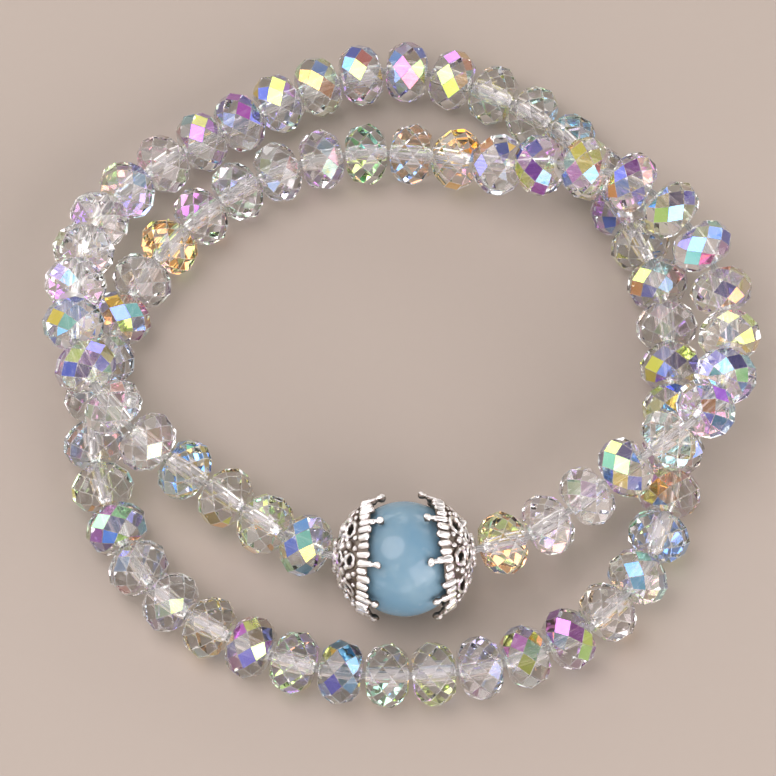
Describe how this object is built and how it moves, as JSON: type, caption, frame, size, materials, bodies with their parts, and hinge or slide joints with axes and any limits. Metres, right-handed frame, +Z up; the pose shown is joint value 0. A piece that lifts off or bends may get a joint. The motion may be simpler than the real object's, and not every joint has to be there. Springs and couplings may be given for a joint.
{
  "type": "double wrap crystal bracelet",
  "caption": "Elastic bracelet that wraps twice, strung with faceted clear crystals and one round blue focal bead between two openwork flower caps.",
  "frame": {"origin": "centre of the bracelet's outline on the surface it lies on", "axes": "+Z up from the surface, +X to the right and -Y to the front, where the focal bead lies"},
  "size_m": [0.068, 0.0678, 0.0122],
  "materials": {
    "crystal_glass": "polished facets, half of each crystal with a rainbow coating",
    "clear_elastic": "clear to milky, satin",
    "blue_stone": "polished, milky and slightly see-through",
    "silver_metal": "bright silver plating, darker in the recesses"
  },
  "bodies": {
    "root": {"crystals_first_turn": "crystal_glass", "crystals_second_turn": "crystal_glass", "elastic_thread": "clear_elastic", "focal_bead": "blue_stone", "bead_cap_left": "silver_metal", "bead_cap_right": "silver_metal"}
  },
  "joints": []
}
